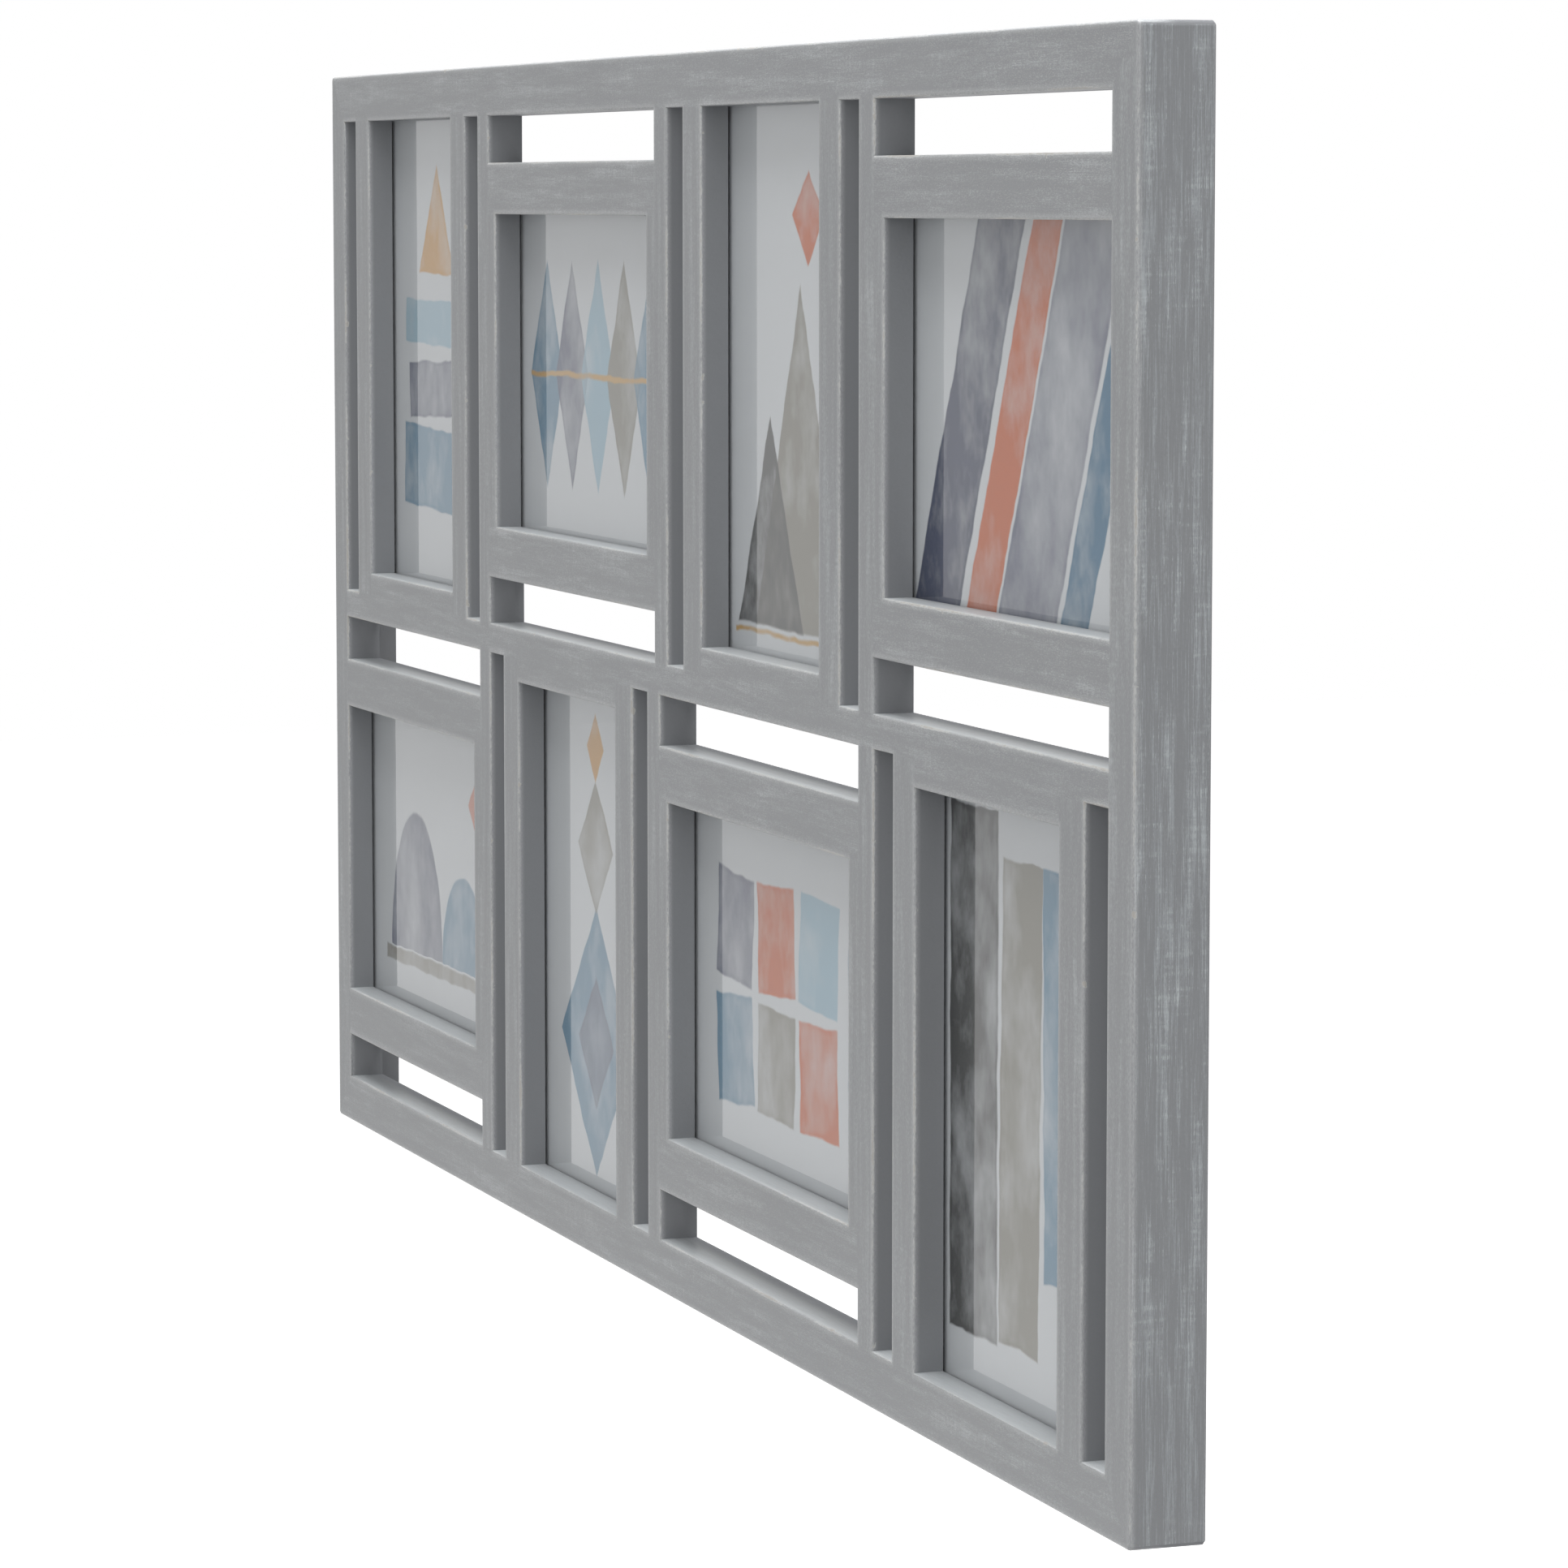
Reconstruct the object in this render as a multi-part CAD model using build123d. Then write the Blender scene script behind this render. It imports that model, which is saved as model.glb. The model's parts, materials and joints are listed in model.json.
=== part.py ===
from build123d import *
import os

# Collage photo frame: a painted lattice of strips with eight glazed openings for small prints.
# Millimetres. X runs along the width, Z is up and the front faces -Y. The wall plane is Y = 0, and the
# origin lies on it, at the middle of the top rail's rear rim.

# Outer border, an L-shaped strip: a flat face in front and a narrower rim that reaches the wall
BORDER_WIDTH = 15.0
RIM_THICKNESS = 6.0
RIM_STANDOFF = 8.2
OUTER_ROUND = 0.8
CORNER_ROUND = 1.5
REAR_EASE = 0.6

# Inner strips
MULLION_WIDTH = 11.0
MID_RAIL_HEIGHT = 9.0
BAR_WIDTH = 15.5
END_BAR_WIDTH = 7.0
EDGE_EASE = 0.3

# Openings, for prints of 4 by 6 inches. P is an upright print and L is one that lies on its side.
ROWS = ("PLPL", "LPLP")
PRINT_SHORT = 101.6
PRINT_LONG = 152.4
SIDE_OVERLAP = 3.3
END_OVERLAP = 2.45
INSERT_CLEARANCE = 0.5
GLASS_SETBACK = 8.0
GLASS_THICKNESS = 1.2
PRINT_THICKNESS = 0.25
BACKING_THICKNESS = 1.5
BACKING_PLAY = 0.05

# Turn buttons that hold the backings, and their screws
BUTTON_HUB_RADIUS = 4.0
BUTTON_TIP_RADIUS = 2.6
BUTTON_OVERLAP = 5.5
BUTTON_THICKNESS = 0.8
BUTTON_PLAY = 0.1
BUTTON_BORE_CLEARANCE = 0.05
SCREW_RADIUS = 1.25
SCREW_LENGTH = 8.0
SCREW_HEAD_RADIUS = 2.7
SCREW_HEAD_HEIGHT = 1.5
SCREW_CHAMFER = 0.8
SHANK_SIDES = 12
HEAD_SIDES = 20

# Sawtooth hangers on the top rail, and their nails
HANGER_SPACING = 344.0
HANGER_LENGTH = 45.0
HANGER_HEIGHT = 8.0
HANGER_THICKNESS = 0.8
HANGER_RISE = 2.0
HANGER_TAB = 8.0
HANGER_RAMP = 3.0
HANGER_RIM_GAP = 0.5
TOOTH_PITCH = 3.0
TOOTH_DEPTH = 1.8
NAIL_RADIUS = 0.8
NAIL_LENGTH = 7.0
NAIL_HEAD_RADIUS = 1.9
NAIL_HEAD_HEIGHT = 0.6

# Layout worked out from the sizes above. A slot is what the bars leave of a cell as tall as it is wide.
OPENING_SHORT = PRINT_SHORT - 2 * SIDE_OVERLAP
OPENING_LONG = PRINT_LONG - 2 * END_OVERLAP
CELL_HEIGHT = OPENING_LONG + END_BAR_WIDTH
SLOT_WIDTH = (CELL_HEIGHT - OPENING_SHORT - 2 * BAR_WIDTH) / 2
BACK_LAND = BAR_WIDTH - SIDE_OVERLAP - INSERT_CLEARANCE
LATTICE_DEPTH = GLASS_SETBACK + GLASS_THICKNESS + PRINT_THICKNESS + BACKING_THICKNESS + BACKING_PLAY
BORDER_DEPTH = LATTICE_DEPTH + RIM_STANDOFF

FRONT = -BORDER_DEPTH
LATTICE_BACK = FRONT + LATTICE_DEPTH
GLASS_FRONT = FRONT + GLASS_SETBACK
SCREW_SEAT = LATTICE_BACK + BUTTON_THICKNESS + 2 * BUTTON_PLAY
NAIL_SEAT = LATTICE_BACK + HANGER_THICKNESS
TOP = RIM_THICKNESS / 2


class Rect:
    """A rectangle of the front view, from x0 to x1 and from z0 to z1."""

    def __init__(self, x0, x1, z0, z1):
        self.x0, self.x1, self.z0, self.z1 = x0, x1, z0, z1
        self.width, self.height = x1 - x0, z1 - z0
        self.cx, self.cz = (x0 + x1) / 2, (z0 + z1) / 2

    def grown(self, dx, dz):
        return Rect(self.x0 - dx, self.x1 + dx, self.z0 - dz, self.z1 + dz)

    def touches(self, other):
        across = self.x0 < other.x1 and other.x0 < self.x1
        return across and self.z0 < other.z1 and other.z0 < self.z1

    def solid(self, y0, y1):
        return Pos(self.cx, (y0 + y1) / 2, self.cz) * Box(self.width, y1 - y0, self.height)


class Cell:
    """One picture: its opening, the two slots beside it and the strips around it."""

    def __init__(self, kind, area, left_bar, right_bar, upper):
        self.kind, self.area, self.upper = kind, area, upper
        if kind == "P":
            self.lay_out_upright()
        else:
            self.lay_out_on_side(left_bar, right_bar)

    def lay_out_upright(self):
        a = self.area
        z0, z1 = (a.z1 - OPENING_LONG, a.z1) if self.upper else (a.z0, a.z0 + OPENING_LONG)
        x0, x1 = a.x0 + SLOT_WIDTH + BAR_WIDTH, a.x1 - SLOT_WIDTH - BAR_WIDTH
        self.opening = Rect(x0, x1, z0, z1)
        self.slots = [Rect(a.x0, a.x0 + SLOT_WIDTH, a.z0, a.z1), Rect(a.x1 - SLOT_WIDTH, a.x1, a.z0, a.z1)]
        end = Rect(x0, x1, a.z0, z0) if self.upper else Rect(x0, x1, z1, a.z1)
        self.main_bars = [Rect(x0 - BAR_WIDTH, x0, a.z0, a.z1), Rect(x1, x1 + BAR_WIDTH, a.z0, a.z1)]
        self.bars = self.main_bars + [end]
        self.insert = (PRINT_SHORT, PRINT_LONG)

    def lay_out_on_side(self, left_bar, right_bar):
        a = self.area
        z0, z1 = a.z0 + SLOT_WIDTH + BAR_WIDTH, a.z1 - SLOT_WIDTH - BAR_WIDTH
        x0, x1 = a.x0 + left_bar, a.x1 - right_bar
        self.opening = Rect(x0, x1, z0, z1)
        self.slots = [Rect(a.x0, a.x1, a.z1 - SLOT_WIDTH, a.z1), Rect(a.x0, a.x1, a.z0, a.z0 + SLOT_WIDTH)]
        self.main_bars = [Rect(a.x0, a.x1, z1, z1 + BAR_WIDTH), Rect(a.x0, a.x1, z0 - BAR_WIDTH, z0)]
        sides = [Rect(a.x0, x0, z0, z1), Rect(x1, a.x1, z0, z1)]
        self.bars = self.main_bars + [side for side in sides if side.width > 0]
        self.insert = (PRINT_LONG, PRINT_SHORT)

    def pocket(self):
        wide, tall = (size + 2 * INSERT_CLEARANCE for size in self.insert)
        o = self.opening
        return o.grown((wide - o.width) / 2, (tall - o.height) / 2)

    def buttons(self):
        """Pivots of the two turn buttons, each with the direction from its bar to the backing."""
        first, second = self.main_bars
        inset = BACK_LAND / 2
        if self.kind == "P":
            z = self.opening.cz
            return [(first.x0 + inset, z, 0), (second.x1 - inset, z, 180)]
        x = self.opening.cx
        return [(x, first.z1 - inset, -90), (x, second.z0 + inset, 90)]


def side_bars(column, columns):
    """Widths of the side bars of a picture that lies on its side: none against the border."""
    left = 0 if column == 0 else END_BAR_WIDTH
    right = 0 if column == columns - 1 else END_BAR_WIDTH
    return left, right


def cell_width(kind, column, columns):
    if kind == "P":
        return OPENING_SHORT + 2 * (BAR_WIDTH + SLOT_WIDTH)
    return OPENING_LONG + sum(side_bars(column, columns))


def lay_out():
    """Returns the outline, the cells by row and column, the mid rail and the mullions of each row."""
    columns = len(ROWS[0])
    widths = [[cell_width(kind, c, columns) for c, kind in enumerate(row)] for row in ROWS]
    width = 2 * BORDER_WIDTH + sum(widths[0]) + (columns - 1) * MULLION_WIDTH
    height = 2 * BORDER_WIDTH + 2 * CELL_HEIGHT + MID_RAIL_HEIGHT
    outline = Rect(-width / 2, width / 2, TOP - height, TOP)
    inner = outline.grown(-BORDER_WIDTH, -BORDER_WIDTH)
    mid_rail = Rect(inner.x0, inner.x1, inner.z0 + CELL_HEIGHT, inner.z1 - CELL_HEIGHT)
    cells, mullions = {}, []
    for r, row in enumerate(ROWS):
        z0 = mid_rail.z1 if r == 0 else inner.z0
        x = inner.x0
        posts = []
        for c, kind in enumerate(row):
            area = Rect(x, x + widths[r][c], z0, z0 + CELL_HEIGHT)
            cells[f"r{r + 1}c{c + 1}"] = Cell(kind, area, *side_bars(c, columns), upper=r == 0)
            x = area.x1 + MULLION_WIDTH
            if c < columns - 1:
                posts.append(Rect(area.x1, x, z0, z0 + CELL_HEIGHT))
        mullions.append(posts)
    return outline, inner, cells, mid_rail, mullions


def flared_mouth(hole):
    """Cutter that eases the front edges around one hole of the lattice."""
    face = Plane(origin=(hole.cx, FRONT, hole.cz), x_dir=(1, 0, 0), z_dir=(0, 1, 0))
    wide = Rectangle(hole.width + 2 * EDGE_EASE, hole.height + 2 * EDGE_EASE)
    return extrude(face * wide, amount=EDGE_EASE, taper=45)


def prism(x, z, y0, radius, length, sides):
    """Rod from y0 towards +Y, with flat sides and so few faces, because it repeats."""
    rod = extrude(RegularPolygon(radius, sides), amount=length, dir=(0, 0, 1))
    return Pos(x, y0, z) * Rot(-90, 0, 0) * rod


def shank(x, z, seat, radius, length):
    """Driven part of a screw or nail, which ends at its seat."""
    return prism(x, z, seat - length, radius, length, SHANK_SIDES)


def collect_cutters(cells, hangers):
    """Everything that is cut out of the strips, each with its place in the front view."""
    cutters = []
    for cell in cells.values():
        for hole in [cell.opening] + cell.slots:
            cutters.append((hole.grown(EDGE_EASE, EDGE_EASE), flared_mouth(hole)))
        pocket = cell.pocket()
        cutters.append((pocket, pocket.solid(GLASS_FRONT, LATTICE_BACK + 1)))
        for x, z, _ in cell.buttons():
            spot = Rect(x - SCREW_RADIUS, x + SCREW_RADIUS, z - SCREW_RADIUS, z + SCREW_RADIUS)
            cutters.append((spot, shank(x, z, SCREW_SEAT, SCREW_RADIUS, SCREW_LENGTH)))
    for x, z in hangers:
        spot = Rect(x - NAIL_RADIUS, x + NAIL_RADIUS, z - NAIL_RADIUS, z + NAIL_RADIUS)
        cutters.append((spot, shank(x, z, NAIL_SEAT, NAIL_RADIUS, NAIL_LENGTH)))
    return cutters


def trimmed(solid, place, cutters):
    for spot, cutter in cutters:
        if spot.touches(place):
            solid = solid - cutter
    return solid


def border_ring(outline, inner):
    """The four border strips before they are parted at the mitres."""
    ring = outline.solid(FRONT, 0)
    ring = fillet(ring.edges().filter_by(Axis.Y), CORNER_ROUND)
    ring = fillet(ring.faces().sort_by(Axis.Y)[0].edges(), OUTER_ROUND)
    ring = chamfer(ring.faces().sort_by(Axis.Y)[-1].edges(), REAR_EASE)
    recess = outline.grown(-RIM_THICKNESS, -RIM_THICKNESS)
    return ring - inner.solid(FRONT - 1, 1) - recess.solid(LATTICE_BACK, 1)


def mitred_side(ring, outline, side):
    """Cuts one border strip out of the ring with 45 degree ends."""
    o, b = outline, BORDER_WIDTH
    corners = {
        "top_rail": [(o.x0, o.z1), (o.x1, o.z1), (o.x1 - b, o.z1 - b), (o.x0 + b, o.z1 - b)],
        "bottom_rail": [(o.x0, o.z0), (o.x1, o.z0), (o.x1 - b, o.z0 + b), (o.x0 + b, o.z0 + b)],
        "left_stile": [(o.x0, o.z0), (o.x0, o.z1), (o.x0 + b, o.z1 - b), (o.x0 + b, o.z0 + b)],
        "right_stile": [(o.x1, o.z0), (o.x1, o.z1), (o.x1 - b, o.z1 - b), (o.x1 - b, o.z0 + b)],
    }[side]
    wedge = extrude(Plane.XZ * Polygon(*corners, align=None), amount=BORDER_DEPTH, dir=(0, -1, 0))
    return ring & wedge


def turn_button(x, z, angle):
    """Teardrop plate whose tip lies over the backing, free to turn on its screw."""
    reach = BACK_LAND / 2 + BUTTON_OVERLAP
    hub = Circle(BUTTON_HUB_RADIUS)
    tip = Pos(reach - BUTTON_TIP_RADIUS, 0) * Circle(BUTTON_TIP_RADIUS)
    outline = make_hull(hub.edges() + tip.edges()) - Circle(SCREW_RADIUS + BUTTON_BORE_CLEARANCE)
    plate = extrude(outline, amount=BUTTON_THICKNESS)
    plate = Pos(0, 0, LATTICE_BACK + BUTTON_PLAY) * Rot(0, 0, -angle) * plate
    return Pos(x, 0, z) * Rot(-90, 0, 0) * plate


def button_screw(x, z):
    """Screw whose flat-topped head keeps its button on, in a pilot hole of its own size."""
    head = prism(x, z, SCREW_SEAT, SCREW_HEAD_RADIUS, SCREW_HEAD_HEIGHT, HEAD_SIDES)
    head = chamfer(head.faces().sort_by(Axis.Y)[-1].edges(), SCREW_CHAMFER)
    return head + shank(x, z, SCREW_SEAT, SCREW_RADIUS, SCREW_LENGTH)


def hanger_centres():
    z = TOP - RIM_THICKNESS - HANGER_RIM_GAP - HANGER_HEIGHT / 2
    return {"left": (-HANGER_SPACING / 2, z), "right": (HANGER_SPACING / 2, z)}


def nail_spots():
    reach = (HANGER_LENGTH - HANGER_TAB) / 2
    return [(x + side * reach, z) for x, z in hanger_centres().values() for side in (-1, 1)]


def sawtooth_hanger(x, z):
    """Bent steel strip whose raised middle has teeth along its lower edge."""
    half, t = HANGER_LENGTH / 2, HANGER_THICKNESS
    tab, ramp = half - HANGER_TAB, half - HANGER_TAB - HANGER_RAMP
    lower = [(-half, 0), (-tab, 0), (-ramp, HANGER_RISE), (ramp, HANGER_RISE), (tab, 0), (half, 0)]
    upper = [(u, v + t) for u, v in reversed(lower)]
    profile = Polygon(*lower, *upper, align=None)
    strip = Pos(0, 0, -HANGER_HEIGHT / 2) * extrude(profile, amount=HANGER_HEIGHT, dir=(0, 0, 1))
    count = int(2 * ramp / TOOTH_PITCH)
    notch = Polygon((-TOOTH_PITCH / 2, 0), (TOOTH_PITCH / 2, 0), (0, TOOTH_DEPTH), align=None)
    notch = Pos(0, HANGER_RISE + 2 * t, 0) * extrude(Plane.XZ * notch, amount=3 * t, dir=(0, -1, 0))
    for i in range(count):
        strip -= Pos((i - (count - 1) / 2) * TOOTH_PITCH, 0, -HANGER_HEIGHT / 2) * notch
    for u, v in nail_spots():
        if abs(u - x) < half:
            strip -= shank(u - x, v - z, 2 * t, NAIL_RADIUS, 4 * t)
    return Pos(x, LATTICE_BACK, z) * strip


def hanger_nail(x, z):
    head = prism(x, z, NAIL_SEAT, NAIL_HEAD_RADIUS, NAIL_HEAD_HEIGHT, HEAD_SIDES)
    return head + shank(x, z, NAIL_SEAT, NAIL_RADIUS, NAIL_LENGTH)


def insert_sheet(cell, y0, thickness):
    wide, tall = cell.insert
    o = cell.opening
    return Pos(o.cx, y0 + thickness / 2, o.cz) * Box(wide, thickness, tall)


def build():
    """Returns the solids of every node."""
    outline, inner, cells, mid_rail, mullions = lay_out()
    cutters = collect_cutters(cells, nail_spots())
    nodes = {}

    ring = border_ring(outline, inner)
    for side in ("top_rail", "bottom_rail", "left_stile", "right_stile"):
        nodes[side] = [trimmed(mitred_side(ring, outline, side), outline, cutters)]

    def strip(place):
        return trimmed(place.solid(FRONT, LATTICE_BACK), place, cutters)

    nodes["mid_rail"] = [strip(mid_rail)]
    nodes["upper_mullions"] = [strip(post) for post in mullions[0]]
    nodes["lower_mullions"] = [strip(post) for post in mullions[1]]

    screws = []
    for name, cell in cells.items():
        nodes[f"picture_bars_{name}"] = [strip(bar) for bar in cell.bars]
        y = GLASS_FRONT
        for layer, thickness in (("glass", GLASS_THICKNESS), ("print", PRINT_THICKNESS),
                                 ("backing", BACKING_THICKNESS)):
            nodes[f"{layer}_{name}"] = [insert_sheet(cell, y, thickness)]
            y += thickness
        for label, (x, z, angle) in zip("ab", cell.buttons()):
            nodes[f"turn_button_{name}_{label}"] = [turn_button(x, z, angle)]
            screws.append(button_screw(x, z))
    nodes["turn_button_screws"] = screws

    for side, (x, z) in hanger_centres().items():
        nodes[f"sawtooth_hanger_{side}"] = [sawtooth_hanger(x, z)]
    nodes["hanger_nails"] = [hanger_nail(x, z) for x, z in nail_spots()]
    return nodes


def main():
    os.makedirs("parts", exist_ok=True)
    nodes = build()
    for name, shapes in nodes.items():
        solids = [solid for shape in shapes for solid in shape.solids()]
        export_step(Compound(children=solids) if len(solids) > 1 else solids[0], f"parts/{name}.step")
    print(len(nodes), "nodes")


main()
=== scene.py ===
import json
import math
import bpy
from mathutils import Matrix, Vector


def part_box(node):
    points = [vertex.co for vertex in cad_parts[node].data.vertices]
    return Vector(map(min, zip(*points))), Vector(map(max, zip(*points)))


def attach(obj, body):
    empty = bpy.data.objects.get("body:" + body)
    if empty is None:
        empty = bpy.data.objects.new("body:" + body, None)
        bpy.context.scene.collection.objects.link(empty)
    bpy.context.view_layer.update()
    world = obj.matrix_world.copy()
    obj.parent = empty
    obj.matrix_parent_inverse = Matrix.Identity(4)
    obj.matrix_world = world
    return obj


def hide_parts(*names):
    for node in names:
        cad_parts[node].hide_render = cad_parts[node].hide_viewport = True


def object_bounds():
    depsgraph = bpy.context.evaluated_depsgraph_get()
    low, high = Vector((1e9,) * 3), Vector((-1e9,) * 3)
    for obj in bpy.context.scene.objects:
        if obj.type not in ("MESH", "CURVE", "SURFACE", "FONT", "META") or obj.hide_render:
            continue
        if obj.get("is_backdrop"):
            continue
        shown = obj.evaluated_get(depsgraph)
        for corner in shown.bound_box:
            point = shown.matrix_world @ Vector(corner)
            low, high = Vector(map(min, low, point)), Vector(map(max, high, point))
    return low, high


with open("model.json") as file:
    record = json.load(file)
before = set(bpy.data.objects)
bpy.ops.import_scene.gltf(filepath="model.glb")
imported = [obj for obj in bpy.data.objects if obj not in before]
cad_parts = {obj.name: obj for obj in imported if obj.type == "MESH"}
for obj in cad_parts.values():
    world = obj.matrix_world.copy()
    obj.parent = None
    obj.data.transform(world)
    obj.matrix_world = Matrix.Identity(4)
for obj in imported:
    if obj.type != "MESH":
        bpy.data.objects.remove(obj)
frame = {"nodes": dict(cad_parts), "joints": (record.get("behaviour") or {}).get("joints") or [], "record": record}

# %% [markdown]
# # A collage photo frame with a dry-brushed paint finish
# The frame is a lattice of flat strips with eight glazed openings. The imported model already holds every
# strip, pane, print, backing board and fitting in its place, in metres. This lesson dresses that model:
# the strips get a worn, brushed paint, the panes real reflections, the prints a washed design, and the
# fittings on the back a plated metal. The front faces -Y, +Z is up and the wall plane is y = 0.

# %% Keep the size of the model
from types import SimpleNamespace

import bmesh
import bpy
from mathutils import Matrix, Vector

MM = 0.001
cad_low, cad_high = (Vector(corner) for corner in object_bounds())
print("model from", tuple(round(v, 4) for v in cad_low), "to", tuple(round(v, 4) for v in cad_high))

# %% [markdown]
# ## The camera
# The picture was taken from the right end of the frame, a little above its middle, with a long lens.
# Such a view could be framed by eye. Here the place and the direction were worked out once from the
# corners of the openings, so they are plain numbers, and the camera has no shift and no blur.

# %% Camera
CAMERA_PLACE = Vector((1.5670, -0.5352, -0.0363))
VIEW_DIRECTION = Vector((-0.9382, 0.3316, -0.0992))
LENS_MM = 135.4
SENSOR_MM = 36

camera_data = bpy.data.cameras.new("camera")
camera_data.lens = LENS_MM
camera_data.sensor_width = SENSOR_MM
camera = bpy.data.objects.new("camera", camera_data)
camera.location = CAMERA_PLACE
camera.rotation_euler = VIEW_DIRECTION.to_track_quat("-Z", "Y").to_euler()
bpy.context.scene.collection.objects.link(camera)
bpy.context.scene.camera = camera
print("camera", LENS_MM, "mm at", tuple(CAMERA_PLACE))

# %% [markdown]
# ## Helpers for materials
# A procedural material is a small machine of nodes. Wired by hand it is easy to see but hard to repeat,
# so short helpers build it here. The first ones turn a colour as seen on a screen into the linear values
# that a renderer works with, add a node and fill its sockets, and do sums, blends and ramps. The others
# make noise with grains of a known size in metres, and end a recipe in bump and a surface.

# %% Node helpers
def screen_colour(*levels):
    """A colour in screen values from 0 to 255, as the linear colour that a socket takes."""
    shares = [level / 255 for level in levels]
    linear = [s / 12.92 if s < 0.04045 else ((s + 0.055) / 1.055) ** 2.4 for s in shares]
    return (*linear, 1.0)


def add_node(tree, kind, sockets=None, **options):
    """Adds a node, sets its options, and fills its sockets with values or with other nodes' outputs."""
    node = tree.nodes.new("ShaderNode" + kind)
    for name, value in options.items():
        setattr(node, name, value)
    for name, value in (sockets or {}).items():
        if isinstance(value, bpy.types.NodeSocket):
            tree.links.new(value, node.inputs[name])
        else:
            node.inputs[name].default_value = value
    return node


def calculate(tree, operation, *values):
    return add_node(tree, "Math", dict(enumerate(values)), operation=operation).outputs[0]


def weighted_sum(tree, *terms):
    """Adds up outputs, each times its own weight."""
    total = 0.0
    for value, weight in terms:
        total = calculate(tree, "MULTIPLY_ADD", value, weight, total)
    return total


def blend_colours(tree, amount, first, second):
    sockets = {0: amount, 6: first, 7: second}
    return add_node(tree, "Mix", sockets, data_type="RGBA").outputs[2]


def soft_step(tree, value, low, high):
    """0 below low, 1 above high, and a smooth ramp between them."""
    sockets = {"Value": value, "From Min": low, "From Max": high}
    return add_node(tree, "MapRange", sockets, interpolation_type="SMOOTHSTEP").outputs[0]


print("screen grey 128 is", round(screen_colour(128, 128, 128)[0], 3), "in linear light")

# %% Material helpers
def new_material(name):
    """An empty material with its tree, its output node and the object's own coordinates."""
    material = bpy.data.materials.new(name)
    material.use_nodes = True
    tree = material.node_tree
    tree.nodes.clear()
    output = add_node(tree, "OutputMaterial")
    place = add_node(tree, "TexCoord").outputs["Object"]
    return material, tree, output, place


def stretched_noise(tree, place, sizes, detail=2.0, roughness=0.5):
    """Noise whose grains are about this long in metres along X, Y and Z."""
    sockets = {"Vector": place, "Scale": [1 / size for size in sizes]}
    scaled = add_node(tree, "Mapping", sockets).outputs[0]
    sockets = {"Vector": scaled, "Scale": 1.0, "Detail": detail, "Roughness": roughness}
    return add_node(tree, "TexNoise", sockets).outputs[0]


def even_noise(tree, place, size, detail=2.0):
    return stretched_noise(tree, place, (size, size, size), detail)


def relief(tree, height, strength, distance):
    """Bump from a height of 0 to 1, which stands for this distance in metres."""
    sockets = {"Strength": strength, "Distance": distance, "Height": height}
    return add_node(tree, "Bump", sockets).outputs[0]


def end_in_surface(tree, output, tone, rough, bump, metallic=0.0):
    """Leads colour, roughness and bump into one surface, which ends the recipe."""
    sockets = {"Base Color": tone, "Metallic": metallic, "Roughness": rough, "Normal": bump}
    surface = add_node(tree, "BsdfPrincipled", sockets).outputs[0]
    tree.links.new(surface, output.inputs["Surface"])


def dress(obj, material):
    obj.data.materials.clear()
    obj.data.materials.append(material)


# %% [markdown]
# ## The studio lamps
# The frame is shown in very soft light. A big lamp above makes the ledges of the openings the palest
# surfaces. A weaker one at the right shines past the strips on the walls of the wide openings, and another
# lights the back. Point lamps would be simpler, but wide square softboxes give soft shadows.

# %% Lamps
SOFTBOXES = {  # place and size in metres, power in watts
    "overhead_softbox": ((0.30, -0.12, 1.5), 1.6, 56),
    "side_softbox": ((1.9, -1.1, 0.3), 1.4, 13),
    "rear_softbox": ((-0.6, 1.8, 0.9), 1.4, 14),
}
middle = (cad_low + cad_high) / 2
for name, (lamp_place, size, power) in SOFTBOXES.items():
    lamp_data = bpy.data.lights.new(name, "AREA")
    lamp_data.shape = "SQUARE"
    lamp_data.size = size
    lamp_data.energy = power
    lamp = bpy.data.objects.new(name, lamp_data)
    lamp.location = lamp_place
    lamp.rotation_euler = (middle - Vector(lamp_place)).to_track_quat("-Z", "Y").to_euler()
    bpy.context.scene.collection.objects.link(lamp)
print(len(SOFTBOXES), "lamps aimed at", tuple(round(v, 3) for v in middle))

# %% [markdown]
# ## A white world
# The backdrop is plain white. A lit white wall would also throw its light on the frame and wash out the
# grey, so the white is the world's own colour for camera, mirror and glass rays only. For all other rays
# the world is a dim fill.

# %% White world
AMBIENT_LEVEL = 0.25


def seen_directly(tree):
    """1 for rays from the camera, also by a mirror or through glass, and 0 for rays that light things."""
    rays = add_node(tree, "LightPath").outputs
    shown = calculate(tree, "MAXIMUM", rays["Is Camera Ray"], rays["Is Glossy Ray"])
    return calculate(tree, "MAXIMUM", shown, rays["Is Transmission Ray"])


world = bpy.data.worlds.new("studio")
world.use_nodes = True
world_tree = world.node_tree
world_tree.nodes.clear()
level = calculate(world_tree, "MAXIMUM", seen_directly(world_tree), AMBIENT_LEVEL)
background = add_node(world_tree, "Background", {"Color": (1, 1, 1, 1), "Strength": level}).outputs[0]
add_node(world_tree, "OutputWorld", {"Surface": background})
bpy.context.scene.world = world
bpy.context.scene.view_settings.view_transform = "Standard"
print("world lights the frame at", AMBIENT_LEVEL)

# %% [markdown]
# ## A pale floor
# The frame is made to hang, so the floor lies well below it and only carries a faint shadow. A single
# face is enough for it. It glows a little for the camera, so its far end melts into the white world.

# %% Pale floor
FLOOR_DROP = 0.40
FLOOR_SIZE = 12.0
FLOOR_LIFT = 0.88
FLOOR_GREY = screen_colour(196, 196, 196)
FLOOR_GREY_PALE = screen_colour(204, 204, 204)


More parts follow.
